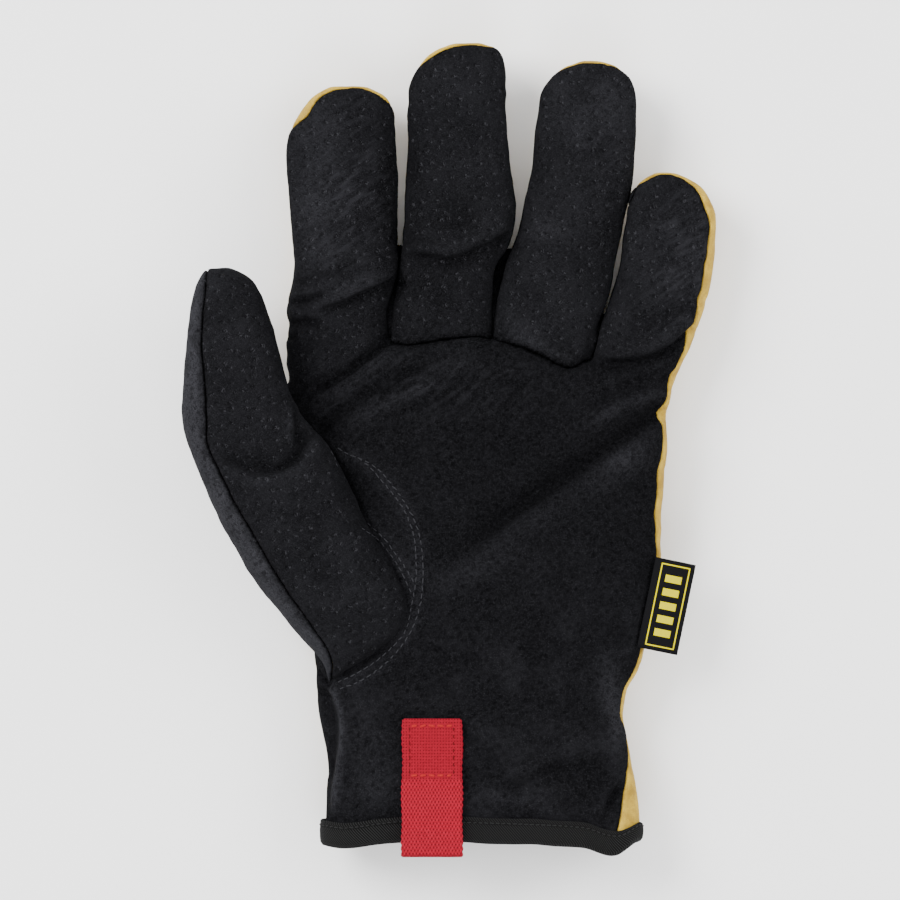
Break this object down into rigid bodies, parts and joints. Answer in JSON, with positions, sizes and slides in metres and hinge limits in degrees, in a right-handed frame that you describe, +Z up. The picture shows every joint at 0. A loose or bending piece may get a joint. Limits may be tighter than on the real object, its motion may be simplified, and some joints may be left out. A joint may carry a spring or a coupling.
{
  "type": "leather driver glove",
  "caption": "Left-hand leather work glove lying palm up: black split-leather palm and thumb, tan leather back, bound cuff with a webbing pull tab.",
  "frame": {"origin": "on the surface that the glove lies on, under the middle of its outline", "axes": "+Y from the cuff to the finger tips, +X to the little-finger side, +Z up out of the palm"},
  "size_m": [0.1634, 0.2496, 0.044],
  "materials": {
    "palm_leather": "black pigskin split, suede side out, matt with fine pores",
    "back_leather": "tan leather, matt",
    "binding_tape": "black twill tape with a row of stitches",
    "webbing": "red woven webbing",
    "label": "black woven tab with a thin yellow frame and no lettering"
  },
  "bodies": {
    "root": {"palm_panel": "palm_leather", "middle_finger_front": "palm_leather", "ring_finger_front": "palm_leather", "back_panel": "back_leather", "finger_wall_index_middle": "palm_leather", "finger_wall_middle_ring": "palm_leather", "finger_wall_ring_little": "palm_leather", "thumb_front_panel": "palm_leather", "thumb_back_panel": "palm_leather", "cuff_binding": "binding_tape", "pull_tab": "webbing", "side_label": "label"}
  },
  "joints": []
}
